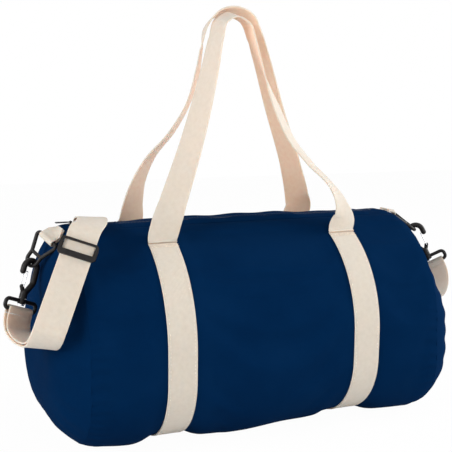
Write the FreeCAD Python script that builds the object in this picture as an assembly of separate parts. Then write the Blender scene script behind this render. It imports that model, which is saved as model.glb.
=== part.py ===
"""A canvas barrel bag with webbing bands, two carry handles, a top zip and a clip-on shoulder strap.

Millimetres. X runs along the barrel, Y to the rear, Z up. The origin is the middle of the flat base.
"""
import FreeCAD, Part
import math
import os

from FreeCAD import Matrix, Vector

# Body
body_length = 490.0
body_depth = 290.0
body_height = 280.0
# Share of the height under the barrel's middle that the rounded bottom corners take
corner_share = 0.7037
canvas = 1.2
# End panels, ring by ring: how far in from the seam as a share of the bottom corner, and how far out
end_steps = ((0.0, 0.0), (0.18, 8.0), (0.44, 21.0), (0.84, 28.0))
binding_width = 8.0
binding_thick = 1.0
sewn_gap = 0.15

# Webbing
webbing = 38.0
webbing_thick = 2.0
band_middle = 131.0
layer_gap = 0.5
route_steps = 5

# Handles
bartack_angle = 29.0
bartack_length = 6.0
bartack_thick = 0.6
handle_rise = 304.0
crown_apart = 14.0
crown_roll = 26.0
handle_steps = 8
handle_sections = 50
hinge_round = 1.1
hinge_gap = 0.3
# Each handle from foot to foot: sideways in shares of the bands' distance from the middle, up in shares of the
# rise, and the webbing's turn in degrees from flat on the bag to edge-on. The rear one is seen from behind.
front_route = [
    (-1.0, 0.0, 0), (-0.965, 0.05, 10), (-0.865, 0.155, 38), (-0.63, 0.4, 54), (-0.37, 0.725, 74),
    (-0.27, 0.87, 84), (-0.2, 0.945, 88), (-0.07, 0.976, 90), (0.07, 0.94, 88), (0.135, 0.86, 82),
    (0.235, 0.72, 66), (0.35, 0.565, 50), (0.5, 0.415, 47), (0.69, 0.31, 46), (0.93, 0.2, 48),
    (1.035, 0.11, 34), (1.05, 0.05, 14), (1.0, 0.0, 0),
]
rear_route = [
    (-1.0, 0.0, 0), (-1.045, 0.06, 23), (-1.01, 0.125, 46), (-0.89, 0.28, 60), (-0.615, 0.565, 70),
    (-0.39, 0.815, 79), (-0.3, 0.905, 85), (-0.19, 0.975, 88), (-0.03, 1.0, 90), (0.15, 0.985, 88),
    (0.262, 0.925, 80), (0.295, 0.83, 66), (0.32, 0.73, 61), (0.41, 0.575, 60), (0.57, 0.45, 54),
    (0.81, 0.32, 47), (0.92, 0.215, 40), (0.97, 0.11, 26), (0.985, 0.03, 9), (1.0, 0.0, 0),
]

# Zip
lip_width = 30.0
lip_gap = 0.5
zip_inset_left = 9.0
zip_inset_right = 23.0
lip_start = 73.0
lip_end = 40.0
slit_half = 3.2
coil_half = 2.6
coil_part = 0.8
coil_depth = 2.4
coil_top = 0.2
tape_width = 12.0
tape_thick = 0.8
stop_length = 2.0
slider_length = 14.0
slider_half = 4.5
slider_plate = 1.5
slider_web = 0.5
slider_gap = 0.4
pull_length = 20.0
pull_width = 6.0
pull_thick = 1.4
pull_hole = 1.6
pin_radius = 0.7
pin_gap = 0.2
knuckle_wall = 0.8

# Clips
tab_width = 25.0
# The left tab hangs to the front and turns with its ring; the right one lies straight
left_tab_out = 20.5
left_tab_front = 16.0
left_tab_drop = 14.0
right_tab_out = 18.0
right_tab_front = 0.0
right_tab_drop = 8.0
tab_seat_out = 2.9
tab_seat_drop = 1.0
tab_roll = {"left": Vector(0.40, -0.80, -0.45), "right": Vector(-0.53, -0.848, 0.0)}
ring_hang = {"left": Vector(-0.54, 0.11, -0.83), "right": Vector(0.686, -0.429, -0.588)}
clip_turn = {"left": 28.0, "right": 32.0}
hook_angle = {"left": 21.0, "right": 27.0}
ring_length = 41.0
ring_rod = 2.5
eye_half = 9.5
eye_bar_rise = 16.5
eye_bar_rod = 2.3
ring_corner = 4.0
hook_rod = 3.8
crook_radius = 10.5
spine_drop = 17.0
neck_drop = 34.0
nose_drop = 5.0
shoulder_radius = 5.0
shoulder_end = 38.5
post_radius = 2.6
boss_radius = 5.0
boss_height = 7.0
head_radius = 4.2
head_height = 1.8
loop_bar_drop = 54.0
loop_height = 12.0
loop_rod = 2.5
loop_corner = 5.0
gate_pivot = (6.2, -24.0)
gate_top = (5.7, -4.5)
gate_wire = 0.6
stub_rod = 2.8
clip_gap = 0.3
fold_tail = 6.0

# Adjuster, and the straight run of strap that it slides on
run_top_out = 4.5
run_top_in = 37.5
run_top_drop = 15.9
run_foot_out = 44.6
run_foot_in = 8.5
run_foot_drop = 97.1
run_tilt = Vector(0.93, -0.30, -0.20)
run_above = 20.0
adjuster_length = 22.0
adjuster_high_bar = 2.6
adjuster_low_bar = 7.0
adjuster_rail = 4.0
adjuster_plate = 3.0
adjuster_corner = 5.0
centre_bar_radius = 2.0

half_length = body_length / 2
radius = body_depth / 2
axis_height = body_height - radius
bottom_corner = corner_share * axis_height
end_rings = [(share * bottom_corner, out) for share, out in end_steps]
flat_half = radius - bottom_corner
X = Vector(1, 0, 0)
Z = Vector(0, 0, 1)


def unit(v):
    return Vector(v) / v.Length


def turned(angle_deg):
    a = math.radians(angle_deg)
    return math.sin(a), math.cos(a)


def save(name, *solids):
    shape = solids[0] if len(solids) == 1 else Part.makeCompound(list(solids))
    shape.exportStep("parts/" + name + ".step")


def section(inset, x):
    """The bag's outline across X, moved in by inset: a round top on a squarer base."""
    r = radius - inset
    c = bottom_corner - inset
    k = c * math.sqrt(0.5)

    def at(y, z):
        return Vector(x, y, z)

    edges = [
        Part.Arc(at(-r, axis_height), at(0, axis_height + r), at(r, axis_height)),
        Part.LineSegment(at(r, axis_height), at(r, bottom_corner)),
        Part.Arc(at(r, bottom_corner), at(flat_half + k, bottom_corner - k), at(flat_half, inset)),
        Part.LineSegment(at(flat_half, inset), at(-flat_half, inset)),
        Part.Arc(at(-flat_half, inset), at(-flat_half - k, bottom_corner - k), at(-r, bottom_corner)),
        Part.LineSegment(at(-r, bottom_corner), at(-r, axis_height)),
    ]
    return Part.Wire([e.toShape() for e in edges])


def solid_body(inset, x0, x1):
    return Part.Face(section(inset, x0)).extrude(Vector(x1 - x0, 0, 0))


def shell(outer, inner, x0, x1):
    """A sleeve of the bag's outline between two insets."""
    return solid_body(outer, x0, x1).cut(solid_body(inner, x0, x1))


def box(x0, x1, y0, y1, z0, z1):
    return Part.makeBox(x1 - x0, y1 - y0, z1 - z0, Vector(x0, y0, z0))


def strip(outer, inner, x0, x1, y0, y1):
    """The part of a sleeve on top of the bag between two values of Y."""
    return shell(outer, inner, x0, x1).common(box(x0, x1, y0, y1, axis_height, body_height + radius))


def top_wedge(angle_deg, x0, x1):
    """The wedge over the top of the bag, out to an angle each side of the vertical."""
    s, c = turned(angle_deg)
    far = 2 * radius
    points = [Vector(x0, 0, axis_height)]
    points.append(Vector(x0, -far * s, axis_height + far * c))
    points.append(Vector(x0, far * s, axis_height + far * c))
    points.append(points[0])
    return Part.Face(Part.makePolygon(points)).extrude(Vector(x1 - x0, 0, 0))


def on_top(angle_deg, lift):
    """Y and Z of a point above the barrel's round top, at an angle from the vertical."""
    s, c = turned(angle_deg)
    return (radius + lift) * s, axis_height + (radius + lift) * c


def placed(shape, origin, ex, ey):
    """A shape drawn in its own XY plane, moved to an origin and two axes."""
    ez = ex.cross(ey)
    m = Matrix(ex.x, ey.x, ez.x, origin.x, ex.y, ey.y, ez.y, origin.y, ex.z, ey.z, ez.z, origin.z, 0, 0, 0, 1)
    return shape.transformed(m, True)


def rounded_path(points, fillets, closed):
    """A wire of straight runs joined by tangent arcs; fillets has one radius per inner corner."""
    pts = [Vector(*p) for p in points]
    count = len(pts)
    corners = range(count) if closed else range(1, count - 1)
    cuts = {}
    for k, fillet in zip(corners, fillets):
        before = unit(pts[k - 1] - pts[k])
        after = unit(pts[(k + 1) % count] - pts[k])
        half = before.getAngle(after) / 2
        reach = fillet / math.tan(half)
        middle = pts[k] + unit(before + after) * (fillet / math.sin(half) - fillet)
        cuts[k] = (pts[k] + before * reach, middle, pts[k] + after * reach)
    edges = []
    last = cuts[count - 1][2] if closed else pts[0]
    for k in range(count if closed else count - 1):
        if k in cuts:
            first, middle, nxt = cuts[k]
            if (first - last).Length > 1e-6:
                edges.append(Part.LineSegment(last, first).toShape())
            edges.append(Part.Arc(first, middle, nxt).toShape())
            last = nxt
    if not closed:
        edges.append(Part.LineSegment(last, pts[-1]).toShape())
    return Part.Wire(edges)


def rod(points, fillets, r, closed=False):
    """A round bar along a path of straight runs and arcs."""
    path = rounded_path(points, fillets, closed)
    start = path.OrderedEdges[0]
    at = start.valueAt(start.FirstParameter)
    along = start.tangentAt(start.FirstParameter)
    ring = Part.Wire([Part.Circle(at, along, r).toShape()])
    return path.makePipeShell([ring], True, False)


def bar(p0, p1, r):
    p0, p1 = Vector(*p0), Vector(*p1)
    return Part.makeCylinder(r, (p1 - p0).Length, p0, p1 - p0)


def rectangle(centre, across, through, width, thick):
    """A closed outline round a centre, wide along one direction and thin along another."""
    a = across * (width / 2)
    b = through * (thick / 2)
    return Part.makePolygon([centre - a - b, centre + a - b, centre + a + b, centre - a + b, centre - a - b])


def hermite(p0, m0, p1, m1, t):
    a = 2 * t ** 3 - 3 * t ** 2 + 1
    b = t ** 3 - 2 * t ** 2 + t
    c = -2 * t ** 3 + 3 * t ** 2
    d = t ** 3 - t ** 2
    return p0 * a + m0 * b + p1 * c + m1 * d


def widths(x, y, z):
    """A step counted in widths of webbing."""
    return Vector(x, y, z) * webbing


def stations(route, first, last, steps=route_steps):
    """Points, directions and across-vectors along a smooth curve through (point, across, spread) rows."""
    points = [row[0] for row in route]
    chords = [(b - a).Length for a, b in zip(points, points[1:])]
    slopes = [unit(first)]
    for k in range(1, len(points) - 1):
        before = (points[k] - points[k - 1]) * (chords[k] / chords[k - 1])
        after = (points[k + 1] - points[k]) * (chords[k - 1] / chords[k])
        slopes.append((before + after) / (chords[k - 1] + chords[k]))
    slopes.append(unit(last))
    out = []
    for k, chord in enumerate(chords):
        m0, m1 = slopes[k] * chord, slopes[k + 1] * chord
        for j in range(steps + (k == len(chords) - 1)):
            t = j / steps
            p = hermite(points[k], m0, points[k + 1], m1, t)
            q = hermite(points[k], m0, points[k + 1], m1, t + 1e-4)
            along = unit(q - p)
            across = route[k][1] * (1 - t) + route[k + 1][1] * t
            across = unit(across - along * across.dot(along))
            spread = route[k][2] * (1 - t) + route[k + 1][2] * t
            out.append((p, along, across, spread))
    return out


def ribbon(rows, side=0.0, ruled=False):
    """Webbing along a list of stations; side picks the layer that lies off the middle by the spread."""
    wires = []
    for p, along, across, spread in rows:
        through = along.cross(across)
        wires.append(rectangle(p + through * (side * spread), across, through, webbing, webbing_thick))
    return Part.makeLoft(wires, True, ruled)


def evenly(rows, count):
    """The same stations, set at even distances along their line."""
    runs = [0.0]
    for a, b in zip(rows, rows[1:]):
        runs.append(runs[-1] + (b[0] - a[0]).Length)
    out = []
    k = 0
    for j in range(count + 1):
        goal = runs[-1] * j / count
        while k < len(rows) - 2 and runs[k + 1] < goal:
            k += 1
        t = (goal - runs[k]) / (runs[k + 1] - runs[k])
        p, along, across, spread = (a * (1 - t) + b * t for a, b in zip(rows[k], rows[k + 1]))
        out.append((p, unit(along), unit(across), spread))
    return out


os.makedirs("parts", exist_ok=True)

# Where the zip and its lips begin and end
zip_left = -half_length + zip_inset_left
zip_right = half_length - zip_inset_right
lip_left = -half_length + lip_start
lip_right = half_length - lip_end

# Bands, let into shallow grooves of the barrel so that the base stays flat
band_spans = {}
for side, sign in (("left", -1), ("right", 1)):
    x0 = sign * band_middle - webbing / 2
    band_spans[side] = (x0, x0 + webbing)
    wedge = top_wedge(bartack_angle, x0, x0 + webbing)
    save(side + "_band", shell(0, webbing_thick, x0, x0 + webbing).cut(wedge))

outer = solid_body(0, -half_length, half_length)
inner = solid_body(canvas, -half_length, half_length)
groove = webbing_thick + sewn_gap
groove_edge = math.degrees(sewn_gap / radius)
wall_edge = math.degrees((sewn_gap + canvas) / radius)
for x0, x1 in band_spans.values():
    g0, g1 = x0 - sewn_gap, x1 + sewn_gap
    outer = outer.cut(shell(0, groove, g0, g1).cut(top_wedge(bartack_angle - groove_edge, g0, g1)))
    w0, w1 = g0 - canvas, g1 + canvas
    wall = shell(canvas, groove + canvas, w0, w1)
    inner = inner.cut(wall.cut(top_wedge(bartack_angle - wall_edge, w0, w1)))
barrel = outer.cut(inner)
mouth_half = lip_width + canvas / 2 + lip_gap
high = body_height + radius
barrel = barrel.cut(box(lip_left - lip_gap, lip_right + lip_gap, -mouth_half, mouth_half, axis_height, high))
barrel = barrel.cut(box(zip_left, zip_right, -slit_half, slit_half, axis_height, high))
save("barrel_panel", barrel)

# End panels: domed canvas, and the bound seam inside each
for side, sign in (("left", -1), ("right", 1)):
    skin = [section(inset, sign * (half_length + out)) for inset, out in end_rings]
    back = []
    for inset, out in end_rings:
        back.append(section(inset + canvas, sign * (half_length + out - canvas * (out > 0))))
    dome = Part.makeLoft(skin, True, True).cut(Part.makeLoft(back, True, True))
    save(side + "_end_panel", dome)
    seam = sign * half_length
    x0, x1 = sorted((seam, seam - sign * binding_width))
    save(side + "_seam_binding", shell(canvas + sewn_gap, canvas + sewn_gap + binding_thick, x0, x1))

# Handles: each one length of webbing in a plane that leans to the middle, turned edge-on at the crown
hinge_y, hinge_z = on_top(bartack_angle, hinge_round + hinge_gap)


def handle(route):
    """A handle at the front of the bag, from its left foot to its right foot."""
    s = (hinge_y - crown_apart) / handle_rise
    c = math.sqrt(1 - s * s)
    up = Vector(0, s, c)
    out = Vector(0, -c, s)
    foot = Vector(0, -hinge_y, hinge_z)
    top = max(range(len(route)), key=lambda k: route[k][1])
    rows = []
    for k, (x, h, turn) in enumerate(route):
        turn_s, turn_c = turned(turn)
        roll_s, roll_c = turned(crown_roll * h ** 3)
        side = 1 if k < top else -1
        across = (out * roll_c - up * roll_s) * turn_s + X * (side * turn_c)
        rows.append((foot + X * (x * band_middle) + up * (h * handle_rise), across, 0.0))
    rows = evenly(stations(rows, up, up * -1, handle_steps), handle_sections)
    webbing_loop = ribbon(rows, ruled=True)
    root = [Vector(x - webbing / 2, -hinge_y, hinge_z) for x in (-band_middle, band_middle)]
    rounds = [Part.makeCylinder(hinge_round, webbing, p, X) for p in root]
    return webbing_loop.fuse(rounds).removeSplitter()


save("front_handle", handle(front_route))
rear_handle = handle(rear_route)
rear_handle.rotate(Vector(0, 0, 0), Z, 180)
save("rear_handle", rear_handle)

tacks = []
tack_angle = math.degrees(bartack_length / radius)
for x0, x1 in band_spans.values():
    ring = shell(-bartack_thick, 0, x0, x1)
    low = math.degrees(webbing_thick / radius) + bartack_angle
    arc = ring.cut(top_wedge(low, x0, x1)).common(top_wedge(low + tack_angle, x0, x1))
    tacks.extend(arc.Solids)
save("handle_stitching", *tacks)

# Zip: two lips that fold open, each with its tape and coil, and fixed stretches at both ends
lip_axis_z = axis_height + math.sqrt((radius - canvas / 2) ** 2 - lip_width ** 2)
end_left = zip_left + stop_length + sewn_gap
end_right = zip_right - stop_length - sewn_gap
end_spans = ((end_left, lip_left - lip_gap), (lip_right + lip_gap, end_right))
tape_in = canvas + sewn_gap
tape_out = tape_in + tape_thick
coil_in, coil_out = coil_top, coil_top + coil_depth
end_tapes, end_coils = [], []
for name, sign in (("front", -1), ("rear", 1)):

    def spread(y0, y1):
        return sorted((sign * y0, sign * y1))

    lip = strip(0, canvas, lip_left, lip_right, *spread(slit_half, lip_width))
    root = Vector(lip_left, sign * lip_width, lip_axis_z)
    edge = Part.makeCylinder(canvas / 2, lip_right - lip_left, root, X)
    save(name + "_lip", lip.fuse(edge).removeSplitter())
    tape = spread(coil_half, coil_half + tape_width)
    coil = spread(coil_part, coil_half)
    save(name + "_zip_tape", strip(tape_in, tape_out, lip_left, lip_right, *tape))
    save(name + "_zip_coil", strip(coil_in, coil_out, lip_left, lip_right, *coil))
    for x0, x1 in end_spans:
        end_tapes.append(strip(tape_in, tape_out, x0, x1, *tape))
        end_coils.append(strip(coil_in, coil_out, x0, x1, *coil))
save("zip_end_tapes", *end_tapes)
save("zip_end_coils", *end_coils)
stop_z = body_height - coil_out
stops = [
    box(x, x + stop_length, -slit_half, slit_half, stop_z, body_height + slider_gap)
    for x in (zip_left, zip_right - stop_length)
]
save("zip_stops", *stops)

# Slider at the closed end, and its pull
slide_x = zip_left + stop_length + slider_gap
plate_z = body_height + slider_gap
slider = box(slide_x, slide_x + slider_length, -slider_half, slider_half, plate_z, plate_z + slider_plate)
low_z = body_height - coil_out - slider_gap
slider = slider.fuse(
    box(slide_x, slide_x + slider_length, -slider_half, slider_half, low_z - slider_plate, low_z))
slider = slider.fuse(box(slide_x, slide_x + slider_length, -slider_web, slider_web, low_z, plate_z))
knuckle = pin_radius + pin_gap + knuckle_wall
pin_x = slide_x + knuckle + pin_gap
pin_z = plate_z + slider_plate + knuckle + pin_gap
ear_in = pull_width / 4
for sign in (-1, 1):
    y0, y1 = sorted((sign * (ear_in + pin_gap), sign * (ear_in + pin_gap + knuckle_wall)))
    slider = slider.fuse(box(pin_x - pin_radius, pin_x + pin_radius, y0, y1, plate_z + slider_plate, pin_z))
ear_out = ear_in + pin_gap + knuckle_wall
slider = slider.fuse(bar((pin_x, -ear_out, pin_z), (pin_x, ear_out, pin_z), pin_radius)).removeSplitter()
save("zip_slider", slider)

pull = bar((pin_x, -ear_in, pin_z), (pin_x, ear_in, pin_z), knuckle)
neck_end = pin_x - 2 * knuckle - ear_in
pull = pull.fuse(box(neck_end, pin_x, -ear_in, ear_in, pin_z - pull_thick / 2, pin_z + pull_thick / 2))
pull_end = pin_x - pull_length
pull_half = pull_width / 2
blade = box(pull_end, neck_end, -pull_half, pull_half, pin_z - pull_thick / 2, pin_z + pull_thick / 2)
pull = pull.fuse(blade)
pull = pull.cut(bar((pin_x, -ear_out, pin_z), (pin_x, ear_out, pin_z), pin_radius + pin_gap))
hole_x = pull_end + 2 * pull_hole
pull = pull.cut(bar((hole_x, 0, pin_z - pull_thick), (hole_x, 0, pin_z + pull_thick), pull_hole))
save("zip_pull", pull.removeSplitter())

# Clips: tab, ring, snap hook, gate and swivel loop at each end of the zip
roll_in = ring_rod + clip_gap
roll_out = roll_in + webbing_thick
seat = crook_radius - hook_rod - ring_rod - clip_gap
loop_half = webbing / 2 + layer_gap + loop_corner
fold_in = loop_rod + clip_gap
tab_spots = {
    "left": (left_tab_out, left_tab_front, left_tab_drop),
    "right": (right_tab_out, right_tab_front, right_tab_drop),
}
fold_out = fold_in + webbing_thick


def clip(side):
    """Builds one clip and gives the middle of its loop bar, and that bar's frame."""
    sign = -1 if side == "left" else 1
    s, c = turned(clip_turn[side])
    out = Vector(sign * c, -s, 0)
    across = unit(tab_roll[side])
    tab_out, tab_front, tab_drop = tab_spots[side]
    tab = Vector(sign * (half_length + tab_out), -tab_front, body_height - tab_drop)
    up = ring_hang[side] * -1
    up = unit(up - across * up.dot(across))
    corner = tab_width / 2 + layer_gap + 2 * ring_corner
    eye_top = ring_length - eye_bar_rise
    outline = [(corner, 0, 0), (eye_half, -eye_top, 0), (eye_half, -ring_length, 0)]
    outline += [(-x, y, z) for x, y, z in reversed(outline)]
    fillets = [ring_corner, ring_corner, eye_half, eye_half, ring_corner, ring_corner]
    ring = rod(outline, fillets, ring_rod, closed=True)
    eye_bar = bar((-eye_half, -eye_top, 0), (eye_half, -eye_top, 0), eye_bar_rod)
    save(side + "_ring", placed(ring.fuse(eye_bar), tab, across, up))

    roll = Part.makeCylinder(roll_out, tab_width, tab - across * (tab_width / 2), across)
    hole = Part.makeCylinder(roll_in, 2 * tab_width, tab - across * tab_width, across)
    seam_z = axis_height + math.sqrt(radius ** 2 - tab_front ** 2)
    seam = Vector(sign * (half_length + tab_seat_out), -tab_front, seam_z - tab_seat_drop)
    flap = unit(seam - tab)
    level = Vector(0, -1, 0)
    near = rectangle(tab + flap * roll_in, across, unit(across.cross(flap)), tab_width, 2 * webbing_thick)
    far = rectangle(seam, level, unit(level.cross(flap)), tab_width, 2 * webbing_thick)
    flaps = Part.makeLoft([near, far], True, True)
    save(side + "_tab", roll.fuse(flaps).cut(hole))

    s, c = turned(hook_angle[side])
    up_hook = Z * c - out * s
    out_hook = out * c + Z * s
    face = across.cross(up)
    pull = face * face.dot(up_hook) - up_hook
    crook = tab - up * (ring_length - eye_half) + unit(pull) * eye_half - up_hook * seat
    path = [(0, -neck_drop, 0), (-crook_radius, -spine_drop, 0), (-crook_radius, crook_radius, 0)]
    path += [(crook_radius, crook_radius, 0), (crook_radius, -nose_drop, 0)]
    hook = rod(path, [crook_radius, crook_radius, crook_radius], hook_rod)
    hook = hook.fuse(Part.makeSphere(hook_rod, Vector(crook_radius, -nose_drop, 0)))
    pivot = Vector(gate_pivot[0], gate_pivot[1], 0)
    hook = hook.fuse(bar((0, -neck_drop, 0), pivot, stub_rod))
    hook = hook.fuse(Part.makeSphere(stub_rod, pivot))
    hook = hook.fuse(bar((0, 1.5 * hook_rod - neck_drop, 0), (0, -shoulder_end, 0), shoulder_radius))
    boss_top = -shoulder_end - clip_gap
    head_top = boss_top - boss_height - clip_gap
    hook = hook.fuse(bar((0, -shoulder_end, 0), (0, head_top, 0), post_radius))
    pin_reach = stub_rod + 2 * gate_wire + clip_gap
    pin_hole = bar((pivot.x, pivot.y, -pin_reach), (pivot.x, pivot.y, pin_reach), gate_wire + clip_gap)
    hook = hook.cut(pin_hole)
    save(side + "_hook", placed(hook, crook, out_hook, up_hook))
    head = bar((0, head_top, 0), (0, head_top - head_height, 0), head_radius)
    save(side + "_swivel_rivet", placed(head, crook, out_hook, up_hook))

    wire_half = stub_rod + clip_gap + gate_wire
    px, py = gate_pivot
    tx, ty = gate_top
    frame = [(px, py, -wire_half), (px, py, wire_half), (tx, ty, wire_half), (tx, ty, -wire_half)]
    gate = rod(frame, [2 * gate_wire] * 4, gate_wire, closed=True)
    save(side + "_gate", placed(gate, crook, out_hook, up_hook))

    low = -loop_bar_drop
    high = low + loop_height
    frame = [(loop_half, low, 0), (loop_half, high, 0), (-loop_half, high, 0), (-loop_half, low, 0)]
    loop = rod(frame, [loop_corner] * 4, loop_rod, closed=True)
    loop = loop.fuse(bar((0, boss_top, 0), (0, boss_top - boss_height, 0), boss_radius))
    loop = loop.cut(bar((0, boss_top + clip_gap, 0), (0, head_top, 0), post_radius + clip_gap))
    save(side + "_swivel_loop", placed(loop, crook, out_hook, up_hook))
    return crook - up_hook * loop_bar_drop, out_hook, up_hook


def fold(name, middle, across, up, tail):
    """Webbing turned over a loop's bar: a half roll above it, and two short tails below."""
    through = up.cross(across)
    roll = Part.makeCylinder(fold_out, webbing, middle - across * (webbing / 2), across)
    roll = roll.cut(Part.makeCylinder(fold_in, 2 * webbing, middle - across * webbing, across))
    big = 4 * fold_out
    below = rectangle(middle - up * (big / 2), up, through, big, big)
    low = Part.Face(below).extrude(across * (2 * webbing))
    low.translate(across * -webbing)
    roll = roll.cut(low)
    for k in (-1, 1):
        layer = middle + through * (k * (fold_in + webbing_thick / 2))
        outline = rectangle(layer, across, through, webbing, webbing_thick)
        roll = roll.fuse(Part.Face(outline).extrude(up * -tail))
    save(name, roll.removeSplitter())


left_bar, left_across, left_up = clip("left")
right_bar, right_across, right_up = clip("right")
fold("strap_left_fold", left_bar, left_across, left_up, fold_tail)
fold("strap_right_fold", right_bar, right_across, right_up, fold_tail)

# Straight front run of the strap, with the adjuster on it
run_top = Vector(-half_length - run_top_out, run_top_in - radius, body_height - run_top_drop)
run_foot = Vector(-half_length - run_foot_out, run_foot_in - radius, body_height - run_foot_drop)
run_down = unit(run_foot - run_top)
run_across = unit(run_tilt - run_down * run_tilt.dot(run_down))
run_out = run_down.cross(run_across)
tail_inner = centre_bar_radius + clip_gap
bar_middle = run_top - run_out * (webbing_thick / 2 + clip_gap + tail_inner + webbing_thick)
run_start = run_top - run_down * run_above
outline = rectangle(run_start, run_across, run_out, webbing, webbing_thick)
save("strap_front_run", Part.Face(outline).extrude(run_foot - run_start))

side_half = webbing / 2 + layer_gap
rail_low = bar_middle - run_out * (centre_bar_radius + clip_gap)
rail_high = run_top + run_out * (webbing_thick / 2 + clip_gap + adjuster_plate)
rail_depth = (rail_high - rail_low).dot(run_out)


def block(centre, along, across, through):
    """A box round a centre, sized along the strap, across it and through it."""
    outline = rectangle(centre - run_down * (along / 2), run_across, run_out, across, through)
    return Part.Face(outline).extrude(run_down * along)


rail_middle = run_top + run_out * ((rail_high + rail_low - run_top * 2).dot(run_out) / 2)
plate_half = adjuster_length / 2
frame_half = side_half + adjuster_rail
window_high = plate_half - adjuster_high_bar
window_low = adjuster_low_bar - plate_half


def plate_face(half_wide, low, high, fillet):
    corners = [(half_wide, low, 0), (half_wide, high, 0), (-half_wide, high, 0), (-half_wide, low, 0)]
    return Part.Face(rounded_path(corners, [fillet] * 4, closed=True))


plate = plate_face(frame_half, -plate_half, plate_half, adjuster_corner)
plate = plate.cut(plate_face(side_half, window_low, window_high, adjuster_rail / 2))
plate = plate.extrude(Z * adjuster_plate)
buckle = placed(plate, rail_high - run_out * adjuster_plate, run_across, run_down * -1)
for sign in (-1, 1):
    rail_at = rail_middle + run_across * (sign * (side_half + adjuster_rail / 2))
    buckle = buckle.fuse(block(rail_at, adjuster_length - 2 * adjuster_corner, adjuster_rail, rail_depth))
bar_reach = run_across * (side_half + adjuster_rail / 2)
buckle = buckle.fuse(bar(bar_middle - bar_reach, bar_middle + bar_reach, centre_bar_radius))
save("adjuster", buckle.removeSplitter())

tail_side = bar_middle - run_across * (webbing / 2)
tail_roll = Part.makeCylinder(tail_inner + webbing_thick, webbing, tail_side, run_across)
hole = Part.makeCylinder(tail_inner, 2 * webbing, bar_middle - run_across * webbing, run_across)
tail_start = tail_inner + webbing_thick / 2
tail_stub = block(bar_middle + run_down * tail_start, 2 * tail_inner + webbing_thick, webbing, webbing_thick)
save("strap_tail_end", tail_roll.fuse(tail_stub).cut(hole).removeSplitter())

# Left drop: two layers from the loop round a hanging bend to the front run
tail_top = bar_middle + run_down * (tail_start + tail_inner + webbing_thick / 2)
lower = (bar_middle - run_top).dot(run_out)
mid_shift = run_out * (lower / 2)
left_start = left_bar - left_up * (fold_tail + clip_gap)
left_route = [
    (left_start, left_across * -1, fold_in + webbing_thick / 2),
    (left_bar + widths(-0.13, -0.26, -0.58), left_across * -1, 1.3 * webbing_thick),
    (left_bar + widths(0, -0.76, -0.79), Vector(0.92, 0.30, -0.22), 0.95 * webbing_thick),
    (left_bar + widths(0.22, -1.53, -0.84), Vector(0.98, 0.10, -0.17), 0.95 * webbing_thick),
    (run_foot + mid_shift + widths(-0.13, 0.34, -0.55), Vector(0.93, -0.18, -0.25), 1.1 * webbing_thick),
    (run_foot + mid_shift, run_across, -lower / 2),
]
left_rows = stations(left_route, left_up * -1, run_down * -1)
save("strap_left_drop_inner", ribbon(left_rows, 1.0))
save("strap_left_drop_outer", ribbon(left_rows, -1.0))
tail_foot = run_foot + run_out * lower
tail_outline = rectangle(tail_top, run_across, run_out, webbing, webbing_thick)
save("strap_tail", Part.Face(tail_outline).extrude(tail_foot - tail_top))

# Strap over the top, down behind the bag and round to the right loop
left_top = Vector(-half_length, 0, body_height)
left_floor = Vector(-half_length, radius, 0)
right_floor = Vector(half_length, radius, 0)
shoulder_y, shoulder_z = on_top(45.0, 0.315 * webbing)
over = [
    (run_start, run_across),
    (Vector(run_start.x, run_start.y, body_height) + widths(0.47, 0.79, 0.29), Vector(0.90, -0.40, -0.12)),
    (left_top + widths(1, 0, 0.22), Vector(0.92, -0.38, 0.0)),
    (left_top + widths(1.26, 1.32, -0.05), Vector(0.95, -0.28, 0.06)),
    (Vector(-half_length, shoulder_y, shoulder_z) + widths(1.5, 0, 0), Vector(0.97, -0.20, 0.10)),
    (left_floor + Z * axis_height + widths(1.74, 0.29, 1), Vector(0.97, -0.05, 0.20)),
    (left_floor + widths(2.21, 0.68, 2.32), Vector(0.72, 0.62, 0.30)),
    (left_floor + widths(3.68, 1, 1.16), Vector(0.20, 0.95, 0.20)),
    (Vector(0, radius, 0) + widths(-0.53, 1.1, 0.84), Vector(0.0, 1.0, 0.05)),
    (right_floor + widths(-3.29, 1.08, 1.05), Vector(0.08, 0.97, 0.22)),
    (right_floor + widths(-0.89, 0.89, 1.53), Vector(0.28, 0.84, 0.46)),
    (right_floor + widths(1, -0.21, 2.08), Vector(0.54, 0.62, 0.56)),
    (right_floor + widths(1.79, -2.08, 2.58), Vector(0.78, 0.36, 0.50)),
    (right_bar + widths(0.1, 1, -2), Vector(0.90, 0.05, 0.42)),
    (right_bar + widths(0.21, 0.1, -1.37), Vector(0.84, -0.30, 0.45)),
]
right_side = right_across.cross(right_up) * (fold_in + webbing_thick / 2)
right_start = right_bar - right_up * (fold_tail + clip_gap) + right_side
over.append((right_start, right_across))
rows = stations([(point, across, 0.0) for point, across in over], run_down * -1, right_up)
pieces = (("strap_top_run", 0, 4), ("strap_rear_run", 4, 11), ("strap_right_drop", 11, 15))
for name, first, last in pieces:
    save(name, ribbon(rows[first * route_steps : last * route_steps + 1]))
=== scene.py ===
# %% [markdown]
# # A canvas barrel bag
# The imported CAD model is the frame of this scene: it knows where every piece sits and how it moves.
# Each cell dresses one piece of it. Cloth starts as a flat grid, as it is cut from the roll, and is
# then wrapped to its place, so its UV map keeps the flat cloth's own metres for the weave.

import math

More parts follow.
